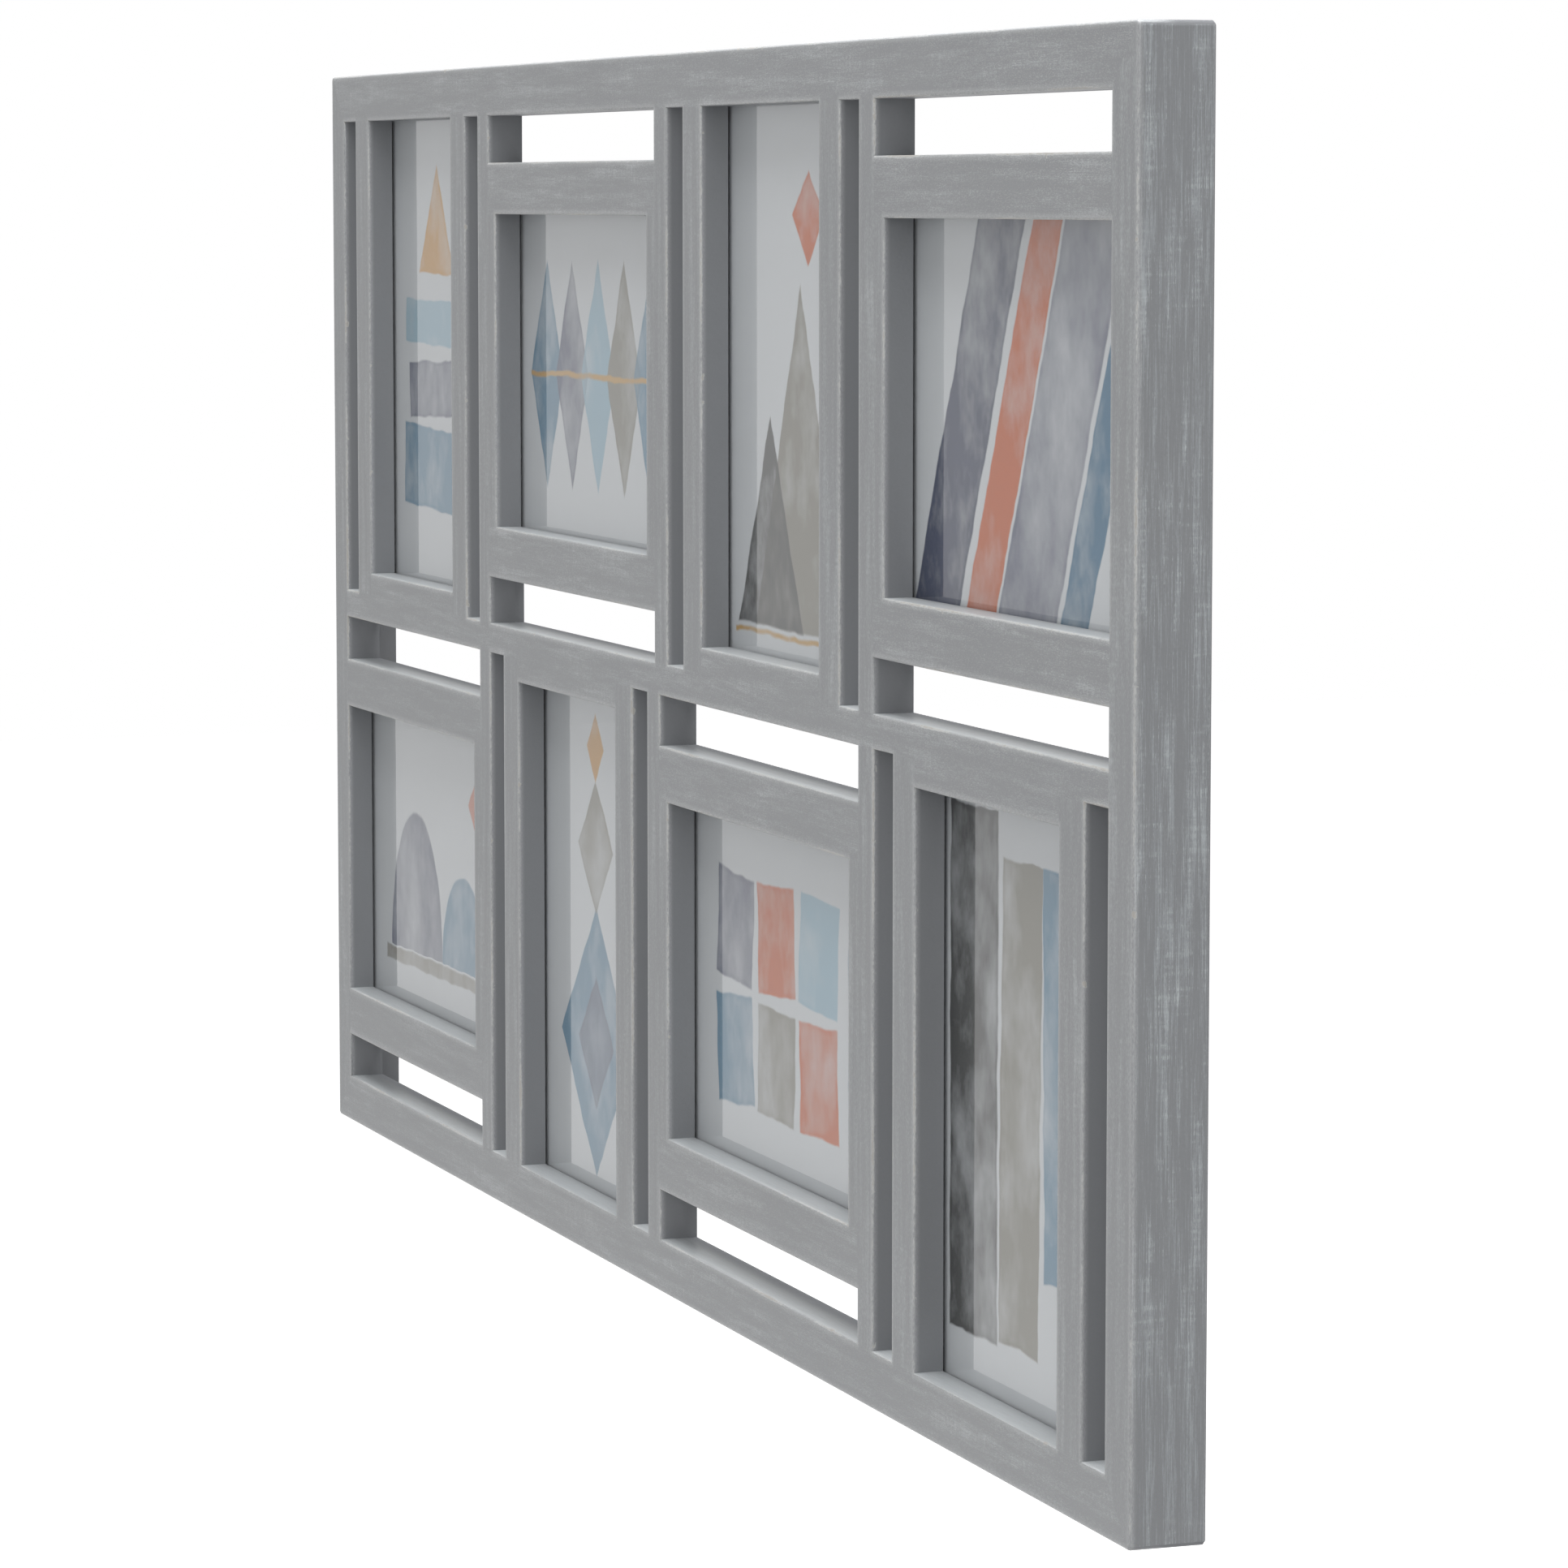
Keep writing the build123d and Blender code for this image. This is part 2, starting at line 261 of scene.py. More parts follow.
def make_floor_finish():
    material, tree, output, place = new_material("pale_floor")
    tone = blend_colours(tree, even_noise(tree, place, 500 * MM), FLOOR_GREY, FLOOR_GREY_PALE)
    matt = add_node(tree, "BsdfDiffuse", {"Color": tone}).outputs[0]
    lift = calculate(tree, "MULTIPLY", seen_directly(tree), FLOOR_LIFT)
    glow = add_node(tree, "Emission", {"Strength": lift}).outputs[0]
    both = add_node(tree, "AddShader", {0: matt, 1: glow}).outputs[0]
    tree.links.new(both, output.inputs["Surface"])
    return material


floor_mesh = bpy.data.meshes.new("floor")
shape = bmesh.new()
bmesh.ops.create_grid(shape, x_segments=1, y_segments=1, size=FLOOR_SIZE / 2)
bmesh.ops.translate(shape, verts=shape.verts, vec=(middle.x, middle.y, cad_low.z - FLOOR_DROP))
shape.to_mesh(floor_mesh)
shape.free()
floor = bpy.data.objects.new("floor", floor_mesh)
bpy.context.scene.collection.objects.link(floor)
dress(floor, make_floor_finish())
floor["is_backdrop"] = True
print("floor at", round(cad_low.z - FLOOR_DROP, 3), "m")

# %% [markdown]
# ## Strips that know their worn edges
# On the real frame the paint is rubbed through along every free front edge, and the brush followed each
# strip's length. A material can't see edges by itself. The wear could be painted on by hand, but it can
# also be measured: the free edges are those of the outline and of the holes, and the holes are the
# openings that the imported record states.

# %% Holes of the lattice
OPENING_MARGIN = 0.5 * MM
front = cad_low.y
holes = {}
for opening in frame["record"]["physics"]["openings"]:
    low, high = opening["box_m"]
    holes[opening["name"]] = (low[0] - OPENING_MARGIN, high[0] + OPENING_MARGIN,
                              low[2] - OPENING_MARGIN, high[2] + OPENING_MARGIN)


def inset_from_outline(point):
    return min(point.x - cad_low.x, cad_high.x - point.x, point.z - cad_low.z, cad_high.z - point.z)


def gap_to_worn_edge(point):
    """Distance to the nearest free front edge, of a hole or of the outline."""
    depth = point.y - front
    nearest = math.hypot(inset_from_outline(point), depth)
    for left, right, bottom, top in holes.values():
        across = max(left - point.x, point.x - right, 0)
        up = max(bottom - point.z, point.z - top, 0)
        nearest = min(nearest, math.hypot(across, up, depth))
    return nearest


print(len(holes), "holes in the lattice, from", round(front, 4), "m")

# %% [markdown]
# ## Merged strips with cuts along their edges
# A strip's node is made of loose triangles and may not be changed, so the paint goes on a copy. Merging
# joins the triangles of each strip, but not strips that only touch. A value on a mesh changes from one
# vertex to the next, so cuts close to the worn edges give it somewhere to change. Subdividing the whole
# strip would do that too, with far more faces.

# %% Merging and cutting a strip
MERGE_DISTANCE = 1e-6
JUST_INSIDE = 0.05 * MM
BAND_STEPS = (0.7 * MM, 2.5 * MM)


def merge_each_strip(shape, hole):
    """Merges the loose triangles of a picture's surround without joining the strips that touch there."""
    left, right, bottom, top = hole
    sides = {-1: set(), 0: set(), 1: set()}
    for face in shape.faces:
        inside = face.calc_center_median() - face.normal * JUST_INSIDE
        if right - left < top - bottom:
            side = (inside.x > right) - (inside.x < left)
        else:
            side = (inside.z > top) - (inside.z < bottom)
        sides[side].update(face.verts)
    for verts in sides.values():
        bmesh.ops.remove_doubles(shape, verts=list(verts), dist=MERGE_DISTANCE)


def cut_bands(shape, low, high):
    """Cuts a strip along its worn edges, a little way in, where each cut crosses it."""
    inside_out = (cad_high.x, cad_low.x, cad_high.z, cad_low.z)
    cuts = {("y", front + step) for step in BAND_STEPS}
    for left, right, bottom, top in [*holes.values(), inside_out]:
        for step in BAND_STEPS:
            cuts |= {("x", left - step), ("x", right + step), ("z", bottom - step), ("z", top + step)}
    for axis, at in sorted(cuts):
        if getattr(low, axis) < at < getattr(high, axis):
            normal = Vector((axis == "x", axis == "y", axis == "z"))
            everything = list(shape.verts) + list(shape.edges) + list(shape.faces)
            bmesh.ops.bisect_plane(shape, geom=everything, dist=MERGE_DISTANCE,
                                   plane_co=normal * at, plane_no=normal)


print("bands end", [round(step / MM, 2) for step in BAND_STEPS], "mm from a worn edge")

# %% [markdown]
# ## Values and soft edges
# Each vertex carries four values for the paint: how far the nearest worn edge is, whether its strip runs
# across, and whether it lies on the brushed front or on the outer side. Thick paint also softens the real
# edges. A bevel would add many faces for it, so only the shading turns, over the narrow faces beside an
# edge, and the wide faces stay flat.

# %% Values and shading of a strip
ON_SURFACE = 0.1 * MM
NARROW_BAND = 1.1 * BAND_STEPS[0]
ROUNDING_ANGLE = math.radians(50)


def loose_parts(shape):
    """The vertices of each separate strip of a node."""
    waiting = set(shape.verts)
    while waiting:
        part, border = set(), [waiting.pop()]
        while border:
            vertex = border.pop()
            part.add(vertex)
            for edge in vertex.link_edges:
                other = edge.other_vert(vertex)
                if other in waiting:
                    waiting.remove(other)
                    border.append(other)
        yield part


def store_values(shape):
    """Writes the four values that the paint reads, the gap to a worn edge in millimetres."""
    edge_gap = shape.verts.layers.float.new("edge_gap")
    runs_across = shape.verts.layers.float.new("runs_across")
    on_face = shape.verts.layers.float.new("on_face")
    on_side = shape.verts.layers.float.new("on_side")
    for part in loose_parts(shape):
        width = max(v.co.x for v in part) - min(v.co.x for v in part)
        height = max(v.co.z for v in part) - min(v.co.z for v in part)
        for vertex in part:
            vertex[edge_gap] = gap_to_worn_edge(vertex.co) / MM
            vertex[runs_across] = float(width > height)
            vertex[on_face] = float(vertex.co.y - front < ON_SURFACE)
            vertex[on_side] = float(inset_from_outline(vertex.co) < ON_SURFACE)


def shade_evenly(mesh):
    """Keeps wide faces flat, and turns the shading over the narrow faces along the eased edges."""
    gaps = [value.value * MM for value in mesh.attributes["edge_gap"].data]
    is_wide = []
    faces_at = {}
    for face in mesh.polygons:
        is_wide.append(max(gaps[vertex] for vertex in face.vertices) > NARROW_BAND)
        for vertex in face.vertices:
            faces_at.setdefault(vertex, []).append(face)
    normals = []
    for face in mesh.polygons:
        for vertex in face.vertices:
            near = [f for f in faces_at[vertex] if f.normal.angle(face.normal) < ROUNDING_ANGLE]
            wide = [f for f in near if is_wide[f.index]]
            chosen = [face] if is_wide[face.index] else wide or near
            different = {tuple(round(v, 3) for v in f.normal): f.normal for f in chosen}
            normals.append(sum(different.values(), Vector()).normalized())
    mesh.normals_split_custom_set(normals)


print("shading turns within", round(NARROW_BAND / MM, 2), "mm of an edge")

# %% [markdown]
# ## Painted copies
# The rails, the stiles, the mullions and the bars round the pictures are one painted lattice. Each copy
# stands for its own node, so the pieces keep their names and could still be taken apart, and it stays
# with the frame when a button turns.

# %% Copies of the strips
STRIP_NAMES = ("rail", "stile", "mullions", "picture_bars")


def add_piece(name, shape, body, slot, *replaced):
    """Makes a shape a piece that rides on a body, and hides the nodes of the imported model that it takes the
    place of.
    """
    mesh = bpy.data.meshes.new(name)
    shape.to_mesh(mesh)
    shape.free()
    piece = bpy.data.objects.new(name, mesh)
    bpy.context.scene.collection.objects.link(piece)
    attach(piece, body)
    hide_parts(*replaced)
    return piece


def painted_copy(node_name):
    """A merged copy of a painted node, with the values that its paint reads."""
    shape = bmesh.new()
    shape.from_mesh(frame["nodes"][node_name].data)
    window = node_name.replace("picture_bars_", "window_")
    if window in holes:
        merge_each_strip(shape, holes[window])
    else:
        bmesh.ops.remove_doubles(shape, verts=shape.verts, dist=MERGE_DISTANCE)
    cut_bands(shape, *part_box(node_name))
    store_values(shape)
    for face in shape.faces:
        face.smooth = True
    piece = add_piece("painted_" + node_name, shape, "frame", "painted_wood", node_name)
    shade_evenly(piece.data)
    return piece


strip_nodes = sorted(name for name in frame["nodes"] if any(word in name for word in STRIP_NAMES))
strips = [painted_copy(name) for name in strip_nodes]
print(len(strips), "painted pieces,", sum(len(piece.data.polygons) for piece in strips), "faces")

# %% [markdown]
# ## The grain of dry-brushed paint
# The real finish is a grey coat with a paler one dragged over it by a nearly dry brush. A picture of such
# paint could be wrapped round the strips, but it would repeat and stretch. Noise does neither. Drawn out
# along each strip it looks like the marks of a brush, from long drags to short flecks, and even noise
# gives the clouds and the spray of the coat and the places where it wears.

# %% Grains of the paint
BRUSH_GRAINS = {  # length along the strip and width across it in millimetres, and detail
    "drags": (40, 3, 2.0),
    "streaks": (12, 0.3, 3.0),
    "hairs": (14, 0.16, 2.0),
    "stops": (1.4, 9, 2.0),
    "flecks": (0.9, 0.22, 3.0),
    "rubs": (1.6, 0.5, 4.0),
}
EVEN_GRAINS = {  # size in millimetres, and detail
    "cloud": (50, 2.0),
    "spray": (0.7, 3.0),
    "rub_reach": (30, 2.0),
    "chips": (4, 3.0),
}
BRUSH_ROUGHNESS = 0.6
LEDGE_SLOPE = (0.3, 0.9)
LEDGE_BACK = (5.0, 10.0)


def brush_noise(tree, place, runs_across, length, width, detail):
    """Noise with grains of this length along the strip and this width across it."""
    scale_across = (1 / length, 1 / width, 1 / width)
    scale_up = (1 / width, 1 / width, 1 / length)
    across = add_node(tree, "Mapping", {"Vector": place, "Scale": scale_across}).outputs[0]
    upright = add_node(tree, "Mapping", {"Vector": place, "Scale": scale_up}).outputs[0]
    sockets = {0: runs_across, 4: upright, 5: across}
    turned = add_node(tree, "Mix", sockets, data_type="VECTOR").outputs[1]
    sockets = {"Vector": turned, "Scale": 1.0, "Detail": detail, "Roughness": BRUSH_ROUGHNESS}
    return add_node(tree, "TexNoise", sockets).outputs[0]


def paint_grains(tree, place):
    """Every noise and every value of the surface that the layers of paint read, by name."""
    grain = SimpleNamespace()
    for name in ("edge_gap", "runs_across", "on_face", "on_side"):
        setattr(grain, name, add_node(tree, "Attribute", attribute_name=name).outputs["Fac"])
    for name, (length, width, detail) in BRUSH_GRAINS.items():
        noise = brush_noise(tree, place, grain.runs_across, length * MM, width * MM, detail)
        setattr(grain, name, noise)
    for name, (size, detail) in EVEN_GRAINS.items():
        setattr(grain, name, even_noise(tree, place, size * MM, detail))
    facing = add_node(tree, "TexCoord").outputs["Normal"]
    grain.upward = soft_step(tree, add_node(tree, "SeparateXYZ", {0: facing}).outputs["Z"], *LEDGE_SLOPE)
    outer = calculate(tree, "MAXIMUM", grain.on_face, grain.on_side)
    grain.inner = calculate(tree, "SUBTRACT", 1.0, outer)
    grain.far_in = soft_step(tree, grain.edge_gap, *LEDGE_BACK)
    return grain


print(len(BRUSH_GRAINS), "brushed and", len(EVEN_GRAINS), "even grains")

# %% [markdown]
# ## Coat, painted shade and brush marks
# The sprayed mid grey coat is blended towards a darker grey on every face but the front and the outer side, most
# at the back of the upward ledges. That darker grey is painted shade for the walls and ledges deep in the
# openings. On the front and the outer side the brush left broken streaks, thin hair lines that stop where it was
# lifted, and a pale grain where it only touched the high spots. Each mark is a sum of noises that shows where it
# passes a limit, and the marks lie over each other in the order in which they were painted.

# %% Coat, painted shade and brush marks
# The first grey below is painted shade for the faces inside the openings.
PAINTED_SHADE_GREY = screen_colour(100, 102, 106)
PAINT_GREY = screen_colour(122, 124, 127)
PAINT_GREY_PALE = screen_colour(136, 138, 140)
STREAK_PALE = screen_colour(176, 182, 186)
HAIR_AND_LEDGE_HIGHLIGHT_PALE = screen_colour(204, 210, 212)
FLECK_AND_EDGE_HIGHLIGHT_PALE = screen_colour(190, 191, 192)
# Shares of that painted shade on walls, undersides and backs, and at the back of ledges.
SHADE_ON_WALLS = 0.4
SHADE_AT_LEDGE_BACKS = 0.8
STREAK_LIMITS = (0.95, 1.28)
STREAKS_ON_SIDE = 0.45
STREAKS_ON_FACE = 0.18
HAIR_LIMITS = (1.36, 1.52)
HAIR_PATCHES = (0.32, 0.54)
HAIRS_ON_SIDE = 0.48
HAIRS_ON_FACE = 0.27
FLECK_LIMITS = (0.62, 0.88)
FLECKS_ON_FACE = 0.45


def spray_coat_with_painted_shade(tree, grain):
    """The mid grey coat, blended towards a darker grey as painted shade on inner faces, most at the back of
    ledges.
    """
    coat = weighted_sum(tree, (grain.cloud, 0.5), (grain.spray, 0.5))
    tone = blend_colours(tree, coat, PAINT_GREY, PAINT_GREY_PALE)
    # Painted shade: a fixed share on walls, undersides and backs, and on upward ledges a share that grows towards
    # their back.
    painted_shade = calculate(tree, "MULTIPLY_ADD", grain.far_in, SHADE_AT_LEDGE_BACKS, -SHADE_ON_WALLS)
    painted_shade = calculate(tree, "MULTIPLY_ADD", grain.upward, painted_shade, SHADE_ON_WALLS)
    return blend_colours(tree, calculate(tree, "MULTIPLY", painted_shade, grain.inner), tone, PAINTED_SHADE_GREY)


def brush_over(tree, grain, tone):
    """Streaks, hair lines and flecks of the dry brush, with the amounts of streaks and flecks."""
    streaked = weighted_sum(tree, (grain.streaks, 1.0), (grain.drags, 0.7), (grain.flecks, 0.35))
    streaked = soft_step(tree, streaked, *STREAK_LIMITS)
    shown = weighted_sum(tree, (grain.on_side, STREAKS_ON_SIDE), (grain.on_face, STREAKS_ON_FACE))
    streaked = calculate(tree, "MULTIPLY", streaked, shown)
    tone = blend_colours(tree, streaked, tone, STREAK_PALE)
    lines = weighted_sum(tree, (grain.hairs, 1.0), (grain.drags, 0.7), (grain.stops, 0.5),
                         (grain.flecks, 0.3))
    lines = soft_step(tree, lines, *HAIR_LIMITS)
    shown = weighted_sum(tree, (grain.on_side, HAIRS_ON_SIDE), (grain.on_face, HAIRS_ON_FACE))
    lines = calculate(tree, "MULTIPLY", lines, shown)
    lines = calculate(tree, "MULTIPLY", lines, soft_step(tree, grain.cloud, *HAIR_PATCHES))
    tone = blend_colours(tree, lines, tone, HAIR_AND_LEDGE_HIGHLIGHT_PALE)
    flecked = weighted_sum(tree, (grain.flecks, 1.0), (grain.drags, 0.25))
    flecked = soft_step(tree, flecked, *FLECK_LIMITS)
    shown = calculate(tree, "MULTIPLY", grain.on_face, FLECKS_ON_FACE)
    flecked = calculate(tree, "MULTIPLY", flecked, shown)
    return blend_colours(tree, flecked, tone, FLECK_AND_EDGE_HIGHLIGHT_PALE), streaked, flecked


print("streaks show up to", STREAKS_ON_SIDE, "on the sides and", STREAKS_ON_FACE, "on the front")

# %% [markdown]
# ## Painted ledge highlights and worn edges
# The upward ledges of the openings are painted paler near their front edge, a painted highlight of the light from
# above. Along every edge the paint is paler too, partly a bloom of the dry brush and partly a painted highlight on
# the rounded edges. There the paint is rubbed or chipped to a pale ground, and here and there to the brown board.
# An even line of wear would look drawn. So all of it fades with the stored distance to the edge, and noise makes
# the reach uneven.

# %% Ledge highlights and worn edges
WORN_GROUND = screen_colour(202, 203, 200)
BARE_BOARD = screen_colour(132, 116, 98)
# The first reach is that of the painted highlight on ledges, the second that of the pale band along the edges,
# part bloom and part painted highlight.
LEDGE_HIGHLIGHT_REACH = (0.5, 11.0)
EDGE_BLOOM_AND_HIGHLIGHT_REACH = (0.3, 2.0)
CHIP_LIMITS = (0.66, 0.72)
WORN_LIMITS = (0.95, 1.3)
WORN_SHARE = 0.55
BARE_LIMITS = (1.22, 1.42)
BARE_SHARE = 0.35


def fades_from_edge(tree, grain, reach, marks):
    """1 at a worn edge and 0 at the end of its reach in millimetres, broken up by brush marks."""
    fade = calculate(tree, "SUBTRACT", 1.0, soft_step(tree, grain.edge_gap, *reach))
    return calculate(tree, "MULTIPLY", fade, marks)


def ledge_highlight_and_edge_bloom(tree, grain, tone):
    """Pale paint on upward ledges as a painted highlight, and a pale band along the edges that is partly brush
    bloom and partly painted highlight.
    """
    marks = calculate(tree, "MULTIPLY_ADD", grain.streaks, 0.6, 0.1)
    # Painted highlight: upward ledges paler, fading from their front edge.
    ledge_highlight = fades_from_edge(tree, grain, LEDGE_HIGHLIGHT_REACH, calculate(tree, "MULTIPLY", marks, grain.upward))
    tone = blend_colours(tree, ledge_highlight, tone, HAIR_AND_LEDGE_HIGHLIGHT_PALE)
    # Pale band along every edge, partly brush bloom and partly painted highlight on the rounded edges.
    marks = calculate(tree, "MULTIPLY_ADD", grain.flecks, 0.9, -0.1)
    return blend_colours(tree, fades_from_edge(tree, grain, EDGE_BLOOM_AND_HIGHLIGHT_REACH, marks), tone, FLECK_AND_EDGE_HIGHLIGHT_PALE)


def rub_through(tree, grain, tone):
    """The ground and the board that show at the edges, with the amount of ground."""
    chipped = soft_step(tree, grain.chips, *CHIP_LIMITS)
    reach = weighted_sum(tree, (grain.rubs, 1.1), (grain.rub_reach, 1.68), (chipped, 0.7))
    rubbed = calculate(tree, "SUBTRACT", reach, grain.edge_gap)
    worn = soft_step(tree, rubbed, *WORN_LIMITS)
    bare = soft_step(tree, rubbed, *BARE_LIMITS)
    tone = blend_colours(tree, calculate(tree, "MULTIPLY", worn, WORN_SHARE), tone, WORN_GROUND)
    return blend_colours(tree, calculate(tree, "MULTIPLY", bare, BARE_SHARE), tone, BARE_BOARD), worn


# The pale paint on the ledges is a painted highlight.
print("pale paint reaches", LEDGE_HIGHLIGHT_REACH[1], "mm along a ledge and", EDGE_BLOOM_AND_HIGHLIGHT_REACH[1], "mm from other edges")

# %% [markdown]
# ## Paint on the strips
# One material for all strips keeps them alike where they meet. The marks of the brush stand up a little
# and the rubbed places lie lower, which the bump shows. The gloss differs as well: the front and the sides
# shine a little, and the back of the openings, where less of the spray arrived, is the most matt.

# %% Paint on the strips
def make_paint():
    material, tree, output, place = new_material("brushed_grey_paint")
    grain = paint_grains(tree, place)
    tone = spray_coat_with_painted_shade(tree, grain)
    tone, streaked, flecked = brush_over(tree, grain, tone)
    tone = ledge_highlight_and_edge_bloom(tree, grain, tone)
    tone, worn = rub_through(tree, grain, tone)
    height = weighted_sum(tree, (streaked, 0.8), (flecked, 1.0), (worn, -1.0), (grain.spray, 0.4))
    bump = relief(tree, height, 0.5, 0.15 * MM)
    matt_back = calculate(tree, "MULTIPLY", grain.far_in, grain.inner)
    rough = calculate(tree, "MULTIPLY_ADD", grain.flecks, 0.1, 0.26)
    rough = weighted_sum(tree, (rough, 1.0), (grain.on_face, 0.08), (grain.on_side, 0.08),
                         (grain.inner, 0.12), (matt_back, 0.3))
    end_in_surface(tree, output, tone, rough, bump)
    return material


paint = make_paint()
for piece in strips:
    dress(piece, paint)
print("paint with", len(paint.node_tree.nodes), "nodes")

# %% [markdown]
# ## Clear glass
# Each opening has a thin pane of clear glass. Seen at a slant it mirrors the wall of its opening and the
# white studio. A glass shader that bends light would need many bounces to light the print behind it, so
# this one lets light straight through and mixes in a mirror by its angle, from its outer side only.

# %% Glass
GLASS_INDEX = 1.5
GLASS_TINT = (0.975, 0.98, 0.978, 1)
SMEAR_LIMITS = (0.45, 0.75)
SMEAR_HAZE = 0.06


def make_glass():
    material, tree, output, place = new_material("clear_glass")
    bump = relief(tree, even_noise(tree, place, 90 * MM), 0.04, 0.2 * MM)
    smear = stretched_noise(tree, place, (30 * MM, 30 * MM, 12 * MM), 3.0)
    haze = calculate(tree, "MULTIPLY", soft_step(tree, smear, *SMEAR_LIMITS), SMEAR_HAZE)
    by_angle = add_node(tree, "Fresnel", {"IOR": GLASS_INDEX}).outputs[0]
    inner_side = add_node(tree, "NewGeometry").outputs["Backfacing"]
    outer_side = calculate(tree, "SUBTRACT", 1.0, inner_side)
    amount = calculate(tree, "MULTIPLY", by_angle, outer_side)
    clear = add_node(tree, "BsdfTransparent", {"Color": GLASS_TINT}).outputs[0]
    mirror = add_node(tree, "BsdfAnisotropic", {"Roughness": haze, "Normal": bump}).outputs[0]
    mixed = add_node(tree, "MixShader", {0: amount, 1: clear, 2: mirror}).outputs[0]
    tree.links.new(mixed, output.inputs["Surface"])
    return material


glass = make_glass()
print("glass with", len(glass.node_tree.nodes), "nodes")

# %% [markdown]
# ## The panes
# A pane lies in a rebate behind the strips, with its print against its back. Its node could keep its shape
# and take the glass, but faces that lie exactly on each other flicker in a render. So a pane is made again
# as a box with ground edges, a hair thinner than its place.

# %% Panes
PANE_FRONT_GAP = Vector((0, 0.2 * MM, 0))
PANE_BACK_GAP = Vector((0, 0.05 * MM, 0))
PANE_BEVEL = 0.15 * MM


def pane_shape(low, high):
    """A box from one corner to the other, with ground edges."""
    shape = bmesh.new()
    bmesh.ops.create_cube(shape, size=1.0)
    bmesh.ops.scale(shape, verts=shape.verts, vec=high - low)
    bmesh.ops.translate(shape, verts=shape.verts, vec=(low + high) / 2)
    bmesh.ops.bevel(shape, geom=shape.edges, offset=PANE_BEVEL, affect="EDGES", segments=1, profile=0.5,
                    material=-1)
    return shape


picture_names = sorted(name.removeprefix("glass_") for name in frame["nodes"] if name.startswith("glass_"))
for name in picture_names:
    low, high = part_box("glass_" + name)
    shape = pane_shape(low + PANE_FRONT_GAP, high - PANE_BACK_GAP)
    dress(add_piece("pane_" + name, shape, "frame", "glass", "glass_" + name), glass)
print(len(picture_names), "panes")

# %% [markdown]
# ## Forms for the prints
# The prints are loose sheets with soft, hand-painted looking shapes on white paper. A picture file could
# carry them, but shapes drawn in the shader stay sharp at any size. Each shape is a simple form, a band, a
# lozenge, a peak or a dome, measured from its own middle in its own half sizes, so its edge lies where the
# measure is 1.

# %% Forms
DOME_CUT = 20.0


def form_measure(tree, form, half, across, up):
    """How far out a point lies in a form, which ends where the measure is 1."""
    across_size = calculate(tree, "ABSOLUTE", across)
    up_size = calculate(tree, "ABSOLUTE", up)
    if form == "band":
        slender = [length / min(half) for length in half]
        beyond = [calculate(tree, "MULTIPLY_ADD", size, share, 1 - share)
                  for size, share in zip((across_size, up_size), slender)]
        return calculate(tree, "MAXIMUM", *beyond)
    if form == "lozenge":
        return calculate(tree, "ADD", across_size, up_size)
    if form == "peak":
        slope = calculate(tree, "MULTIPLY_ADD", calculate(tree, "ADD", up, 1.0), 0.5, across_size)
        return calculate(tree, "MAXIMUM", slope, calculate(tree, "MULTIPLY", up, -1.0))
    squares = calculate(tree, "ADD", calculate(tree, "MULTIPLY", across, across),
                        calculate(tree, "MULTIPLY", up, up))
    flat_base = calculate(tree, "SUBTRACT", 1.0, calculate(tree, "MULTIPLY", up, DOME_CUT))
    return calculate(tree, "MAXIMUM", calculate(tree, "SQRT", squares), flat_base)


# %% [markdown]
# ## Washes of colour
# The forms are washes in slate and steel blue, warm grey, terracotta and mustard. A flat colour would look
# cut from paper. A real wash pools while it dries, so noise makes it thick and thin, and its rim, where
# the colour gathers, is a little denser.

# %% Washes
PRINT_COLOURS = {
    "slate": (84, 88, 110), "steel": (92, 128, 152), "navy": (40, 48, 76), "grey": (132, 128, 120),
    "charcoal": (52, 52, 52), "terracotta": (184, 86, 24), "mustard": (188, 138, 58),
    "sky": (150, 178, 194), "teal": (30, 92, 124), "gold": (188, 150, 88), "olive": (164, 160, 84),
}
SOFT_EDGE_MM = 0.5
RIM_LIMITS = (0.85, 1.0)
RIM_GAIN = 0.15
POOL_GAIN = 2.0
POOL_START = -0.12


def add_wash(tree, tone, place, pools, centre, form, offset, half, angle, colour, strength):
    """Lays one washed form over the paper and returns the new tone."""
    sockets = {"Vector": place, "Location": centre + Vector((offset[0], 0, offset[1])) * MM,
               "Rotation": (0, math.radians(angle), 0), "Scale": (half[0] * MM, 1, half[1] * MM)}
    own_place = add_node(tree, "Mapping", sockets, vector_type="TEXTURE").outputs[0]
    parts = add_node(tree, "SeparateXYZ", {0: own_place}).outputs
    measure = form_measure(tree, form, half, parts["X"], parts["Z"])
    softness = SOFT_EDGE_MM / min(half)
    outside = soft_step(tree, measure, 1 - softness, 1 + softness)
    inside = calculate(tree, "SUBTRACT", 1.0, outside)
    density = calculate(tree, "MULTIPLY_ADD", pools, POOL_GAIN, POOL_START)
    density = calculate(tree, "MULTIPLY_ADD", soft_step(tree, measure, *RIM_LIMITS), RIM_GAIN, density)
    amount = calculate(tree, "MULTIPLY", inside, calculate(tree, "MULTIPLY", density, strength))
    amount = calculate(tree, "MINIMUM", amount, 1.0)
    return blend_colours(tree, amount, tone, screen_colour(*PRINT_COLOURS[colour]))


print(len(PRINT_COLOURS), "print colours")

# %% [markdown]
# ## Eight designs
# Every sheet has a plain geometric design of a few forms. They could be scattered by chance, but a list is
# easier to read and to change. Later forms lie over earlier ones.

